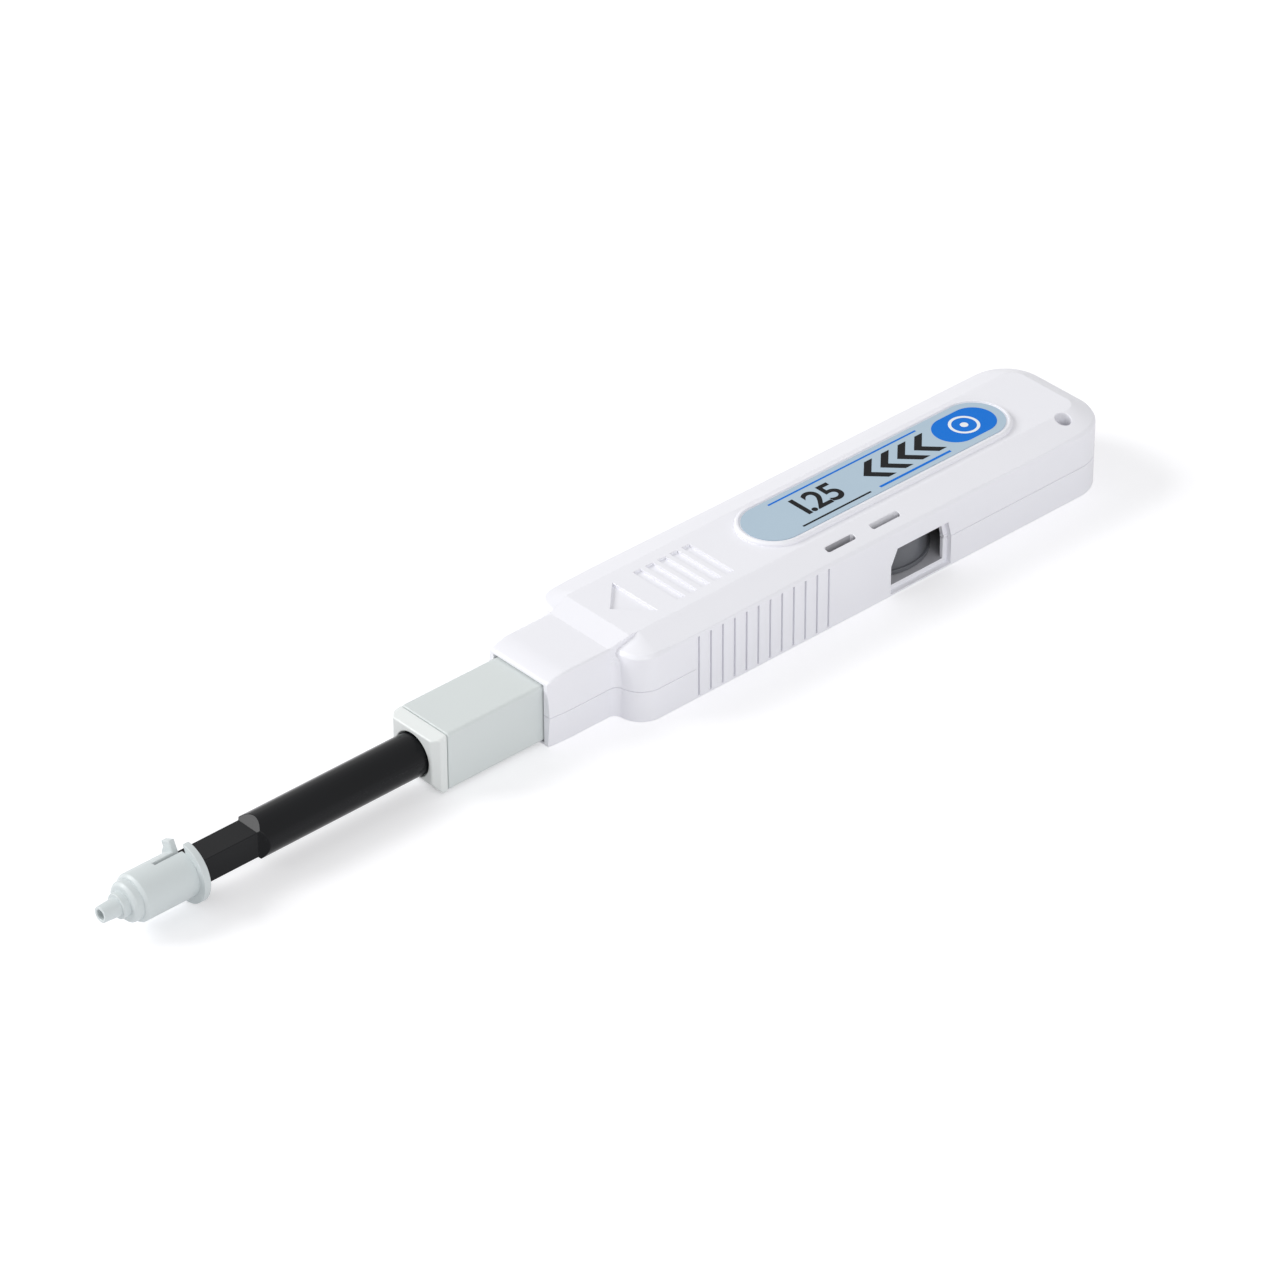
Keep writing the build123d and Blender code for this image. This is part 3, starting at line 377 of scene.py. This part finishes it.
wound_pack("take_up_thread", "used_thread_pack", "take_up", used_thread)
wound_pack("supply_thread", "clean_thread_pack", "supply", clean_thread)

# ---------------------------------------------------------------- cleaning head
# Acetal shaft whose drum has the helical cam groove, and a fine moulded tip on its needle.
# The thread loops over the tip's end, where it wipes the ferrule.

for node, width, name, material, slot in (
    ("head_shaft", 0.05, "cam_shaft", gear_acetal, "natural_acetal"),
    ("cleaning_tip", 0.03, "wiping_tip", acetal, "natural_acetal"),
    ("head_thread", 0.03, "thread_loop", clean_thread, "thread_fibre"),
):
    skin = node_copy(node)
    soften(skin, width * MM)
    part = finish_piece(skin, name, "cleaning_head", material)
    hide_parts(node)

# ---------------------------------------------------------------- coil springs
# Coils of round music wire.
# The long one returns the slider; the light one keeps the tip pressed on the ferrule.

spring_steel = metal("spring_steel", "b9bcc1", 0.25, 1)


def coil(node, name, wire, turns, material):
    """A coil of round wire as long and as wide as the CAD's, wound by a spin that also climbs."""
    low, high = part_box(node)
    middle_z = (low.z + high.z) / 2
    mean = (high.z - low.z) / 2 - wire / 2
    start = low.x + wire / 2
    climb = (high.x - low.x - wire) / turns
    steps = 40
    bm = bmesh.new()
    ring = bmesh.ops.create_circle(bm, cap_ends=False, segments=12, radius=wire / 2)["verts"]
    place = Matrix.Translation((start, 0, middle_z + mean)) @ Matrix.Rotation(pi / 2, 4, "X")
    bmesh.ops.transform(bm, matrix=place, verts=ring)
    rim = list({edge for vert in ring for edge in vert.link_edges})
    bmesh.ops.spin(
        bm, geom=ring + rim, cent=(start, 0, middle_z), axis=(1, 0, 0), angle=2 * pi * turns,
        steps=round(steps * turns), dvec=(climb / steps, 0, 0), use_merge=False,
    )
    bmesh.ops.remove_doubles(bm, verts=bm.verts, dist=0.001 * MM)
    bmesh.ops.holes_fill(bm, edges=[e for e in bm.edges if e.is_boundary], sides=0)
    bmesh.ops.recalc_face_normals(bm, faces=bm.faces)
    spring = finish_piece(bm, name, "slider", material)
    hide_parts(node)
    return spring


return_coil = coil("return_spring", "return_coil", 0.5 * MM, 5, spring_steel)
coil("head_spring", "head_coil", 0.35 * MM, 3, spring_steel)

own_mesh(return_coil)

# ---------------------------------------------------------------- slider
# Grey ABS sleeve and nose, glued together round the nozzle tube's flange.
# An acetal rack pegs into the sleeve's far side and drives the take-up gear.

slider_grey = moulded_plastic("slider_grey", "d9dfde", "d4dada", 9000, 0.4, 0.006)
# The nose's grey is a lighter copy of the sleeve's: painted light for the light that falls on its
# front.
nose_painted_lighter = moulded_plastic("nose_painted_lighter", "e7eae9", "e2e6e5", 9000, 0.38, 0.005)
for node, width, name, material, slot in (
    ("slider_sleeve", 0.16, "sleeve_moulding", slider_grey, "grey_plastic"),
    ("slider_nose", 0.16, "nose_moulding", nose_painted_lighter, "grey_plastic"),
    ("drive_rack", 0.03, "rack_bar", gear_acetal, "natural_acetal"),
):
    skin = node_copy(node)
    soften(skin, width * MM, steps=3)
    part = finish_piece(skin, name, "slider", material)
    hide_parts(node)

# ---------------------------------------------------------------- nozzle tube
# Black glass-filled nylon tube, satin from its mould.
# Its front third is squared, so that the guide cap can't turn on it.

tube_black = moulded_plastic("tube_black", "131417", "0f1012", 5000, 0.18, 0.001, mirror=0.15)
tube = node_copy("nozzle_tube")
soften(tube, 0.06 * MM)
nozzle_tube = finish_piece(tube, "square_tube", "slider", tube_black)
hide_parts("nozzle_tube")

# ---------------------------------------------------------------- guide cap
# Grey ABS cap, stepped down to the nozzle that centres on the ferrule.
# It snaps over the tube's end and is held by a latch arm cut in its side.

cap_grey = moulded_plastic("cap_grey", "d1d8d9", "ccd3d4", 9000, 0.38, 0.005)
cap = node_copy("guide_cap")
soften(cap, 0.1 * MM, steps=3)
guide_cap = finish_piece(cap, "cap_moulding", "cap", cap_grey)
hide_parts("guide_cap")

# ---------------------------------------------------------------- cam pin
# Steel dowel pin pressed into the upper shell.
# Its end runs in the head's groove and turns the head as the slider moves.

cam = node_copy("cam_pin")
soften(cam, 0.1 * MM, steps=3)
cam_pin = finish_piece(cam, "cam_dowel", "case", pin_steel)
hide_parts("cam_pin")

# ---------------------------------------------------------------- upper shell
# Upper half of the case, moulded in the same white ABS as the lower one.
# It has the bevels, the sunk arrow and bars, the grip ribs, two slots and the label's plinth.

neck_ridge_round = 0.3 * MM


def on_neck_ridge(edge):
    """True for the long top edges of the neck."""
    for vert in edge.verts:
        x, y, z = vert.co / MM
        if not (-15 < x < -4.5 and z > 9.3 and abs(y) > 5):
            return False
    return True


upper = node_copy("upper_case")
soften(upper, neck_ridge_round, steps=3, chosen=on_neck_ridge)
part_line(upper)
soften(upper, case_edge_round, chosen=away_from_rim)
upper_shell = finish_piece(upper, "upper_shell", "case", case_white)
# The upper shell's cavity gets painted shade.
paint_cavity_shade(upper_shell)
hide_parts("upper_case")

# ---------------------------------------------------------------- label
# Printed polyester film with an adhesive back, laid in the plinth's dish.
# Its print is plain: a blue field with a ring and a dot, strokes that point to the nozzle,
# lines and the ferrule's size.


def raise_faces(bm, height):
    """Gives flat faces a height and turns the solid's faces outwards."""
    raised = bmesh.ops.extrude_face_region(bm, geom=bm.faces[:])["geom"]
    top = [item for item in raised if isinstance(item, bmesh.types.BMVert)]
    bmesh.ops.translate(bm, vec=(0, 0, height), verts=top)
    bmesh.ops.recalc_face_normals(bm, faces=bm.faces)


def obround(x0, x1, half_width, z0, z1, steps=64):
    """An upright slab with round ends whose centres are at x0 and x1."""
    bm = bmesh.new()
    bmesh.ops.create_circle(bm, cap_ends=True, segments=steps, radius=half_width)
    bmesh.ops.rotate(bm, cent=(0, 0, 0), matrix=Matrix.Rotation(pi / steps, 3, "Z"), verts=bm.verts)
    rear = [vert for vert in bm.verts if vert.co.x > 0]
    bmesh.ops.translate(bm, vec=(x1 - x0, 0, 0), verts=rear)
    bmesh.ops.translate(bm, vec=(x0, 0, z0), verts=bm.verts)
    raise_faces(bm, z1 - z0)
    return bm


label_film = moulded_plastic("label_film", "b4c8d7", "aec3d3", 2500, 0.33, 0.002, mirror=0.25)
low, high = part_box("label_plate")
half = (high.y - low.y) / 2
film = obround(low.x + half, high.x - half, half, low.z, high.z)
label = finish_piece(film, "label_film_plate", "case", label_film)
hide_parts("label_plate")

ink_blue = moulded_plastic("ink_blue", "0a76dc", "0970d2", 2500, 0.36, 0.001, mirror=0.08)
ink_black = moulded_plastic("ink_black", "101114", "0d0e10", 2500, 0.36, 0.001, mirror=0.08)
ink_white = moulded_plastic("ink_white", "f1f4f6", "ebeff2", 2500, 0.36, 0.001, mirror=0.2)
film_top = high.z
ink_step = 0.012 * MM


def printed(bm, name, ink, layer=1):
    """Lays a print on the film, one ink layer above another."""
    bmesh.ops.translate(bm, vec=(0, 0, film_top + (layer - 1) * ink_step), verts=bm.verts)
    finish_piece(bm, name, "case", ink)


def slab(outlines):
    """Flat slabs of ink from outlines in millimetres."""
    bm = bmesh.new()
    for outline in outlines:
        bm.faces.new([bm.verts.new((x * MM, y * MM, 0)) for x, y in outline])
    raise_faces(bm, ink_step)
    return bm


def bar(x0, x1, y0, y1):
    """Outline of a straight bar."""
    return [(x0, y0), (x1, y0), (x1, y1), (x0, y1)]


field_x0, field_x1 = 60.6 * MM, 63.9 * MM
field_middle_x = (field_x0 + field_x1) / 2
field_half_width = 3.1 * MM
printed(obround(field_x0, field_x1, field_half_width, 0, ink_step), "blue_field", ink_blue)
for radius, width in ((2.1 * MM, 0.42 * MM), (0.55 * MM, 0.54 * MM)):
    ring = bmesh.new()
    section = [
        ring.verts.new((field_middle_x + across, 0, up * ink_step))
        for across, up in ((radius, 0), (radius, 1), (radius - width, 1), (radius - width, 0))
    ]
    sides = closed_line(ring, section)
    bmesh.ops.spin(
        ring, geom=section + sides, cent=(field_middle_x, 0, 0), axis=(0, 0, 1), angle=2 * pi,
        steps=64, use_merge=True, dvec=(0, 0, 0),
    )
    bmesh.ops.recalc_face_normals(ring, faces=ring.faces)
    printed(ring, "white_ring", ink_white, layer=2)

first_stroke_x, stroke_pitch, stroke_count = 44.2, 3.0, 4
stroke_reach, stroke_width = 2.3, 1.4
chevrons = []
for i in range(stroke_count):
    x = first_stroke_x + stroke_pitch * i
    chevrons.append(
        [
            (x, 0),
            (x + stroke_reach, stroke_reach),
            (x + stroke_reach + stroke_width, stroke_reach),
            (x + stroke_width, 0),
            (x + stroke_reach + stroke_width, -stroke_reach),
            (x + stroke_reach, -stroke_reach),
        ]
    )
printed(slab(chevrons), "nozzle_strokes", ink_black)
printed(slab([bar(30.5, 56.6, 3.1, 3.4), bar(44.0, 56.6, -3.45, -3.05)]), "blue_lines", ink_blue)
printed(slab([bar(30.5, 42.4, -3.4, -3.1)]), "black_line", ink_black)

numerals = bpy.data.curves.new("ferrule_size", "FONT")
numerals.body = "1.25"
numerals.size = 5.6 * MM
numerals.extrude = ink_step / 2
numerals.offset = 0.09 * MM
numerals.body_format[0].kerning = -12
numerals.space_character = 0.92
numerals.align_x = "CENTER"
numerals.align_y = "CENTER"
lettering = bpy.data.objects.new("ferrule_size", numerals)
figures = bmesh.new()
figures.from_mesh(bpy.data.meshes.new_from_object(lettering))
bpy.data.objects.remove(lettering)
bmesh.ops.remove_doubles(figures, verts=figures.verts, dist=0.001 * MM)
figures_x = 36.0 * MM
bmesh.ops.translate(figures, vec=(figures_x, 0, ink_step / 2), verts=figures.verts)
printed(figures, "size_numerals", ink_black)

# ---------------------------------------------------------------- studio
# White paper floor that keeps the pen's soft shadow, two soft boxes and an even room light.
# Floor and room are white to the camera and dimmer in the light that they throw on the pen.

paper_glow = 0.32
room_light = 0.53

def camera_share(tree):
    """1 for what the camera, a mirror or glass sees, and 0 for light that falls on the object."""
    path = add_node(tree, "ShaderNodeLightPath", {})
    first = add_node(
        tree,
        "ShaderNodeMath",
        {0: path.outputs["Is Camera Ray"], 1: path.outputs["Is Glossy Ray"]},
        operation="MAXIMUM",
    )
    return add_node(
        tree,
        "ShaderNodeMath",
        {0: first.outputs["Value"], 1: path.outputs["Is Transmission Ray"]},
        operation="MAXIMUM",
    ).outputs["Value"]


floor_paper = bpy.data.materials.new("floor_paper")
floor_paper.use_nodes = True
tree = floor_paper.node_tree
paper = tree.nodes["Principled BSDF"]
paper.inputs["Base Color"].default_value = (0.86, 0.86, 0.88, 1)
paper.inputs["Roughness"].default_value = 0.9
paper.inputs["Specular IOR Level"].default_value = 0.0
paper.inputs["Emission Color"].default_value = (1, 1, 1, 1)
glow = add_node(
    tree, "ShaderNodeMath", {0: camera_share(tree), 1: paper_glow}, operation="MULTIPLY"
)
tree.links.new(glow.outputs["Value"], paper.inputs["Emission Strength"])

bm = bmesh.new()
bmesh.ops.create_grid(bm, x_segments=1, y_segments=1, size=3.0)
mesh = bpy.data.meshes.new("floor")
bm.to_mesh(mesh)
bm.free()
floor = bpy.data.objects.new("floor", mesh)
floor.data.materials.append(floor_paper)
bpy.context.scene.collection.objects.link(floor)

world = bpy.data.worlds.new("studio_room")
bpy.context.scene.world = world
world.use_nodes = True
tree = world.node_tree
room = tree.nodes["Background"]
room.inputs["Color"].default_value = (1, 1, 1, 1)
level = add_node(
    tree, "ShaderNodeMapRange", {"Value": camera_share(tree), "To Min": room_light, "To Max": 1.0}
)
tree.links.new(level.outputs["Result"], room.inputs["Strength"])


def soft_box(name, place, size, watts):
    """A square soft box that faces the pen's middle."""
    lamp = bpy.data.lights.new(name, "AREA")
    lamp.shape = "SQUARE"
    lamp.size = size
    lamp.energy = watts
    box = bpy.data.objects.new(name, lamp)
    box.location = place
    box.rotation_euler = (-Vector(place)).to_track_quat("-Z", "Y").to_euler()
    bpy.context.scene.collection.objects.link(box)


soft_box("key_soft_box", (-0.62, 0.67, 0.61), 0.55, 7.3)
soft_box("fill_soft_box", (-0.25, -1.0, 0.55), 0.9, 4.2)

azimuth = radians(-42.077)
elevation = radians(34.393)
roll = radians(-0.289)
aim = Vector((5.59, 0, 4.017)) * MM
camera_distance = 0.77934
back = Vector(
    (sin(azimuth) * cos(elevation), -cos(azimuth) * cos(elevation), sin(elevation))
)
lens = bpy.data.cameras.new("camera")
lens.lens = 175.36
lens.sensor_width = 36
lens.clip_start = 0.05
lens.clip_end = 20
camera = bpy.data.objects.new("camera", lens)
camera.rotation_mode = "QUATERNION"
camera.location = aim + back * camera_distance
camera.rotation_quaternion = (
    (-back).to_track_quat("-Z", "Y") @ Matrix.Rotation(roll, 3, "Z").to_quaternion()
)
bpy.context.scene.collection.objects.link(camera)
bpy.context.scene.camera = camera
bpy.context.scene.view_settings.view_transform = "Standard"

bpy.context.view_layer.update()
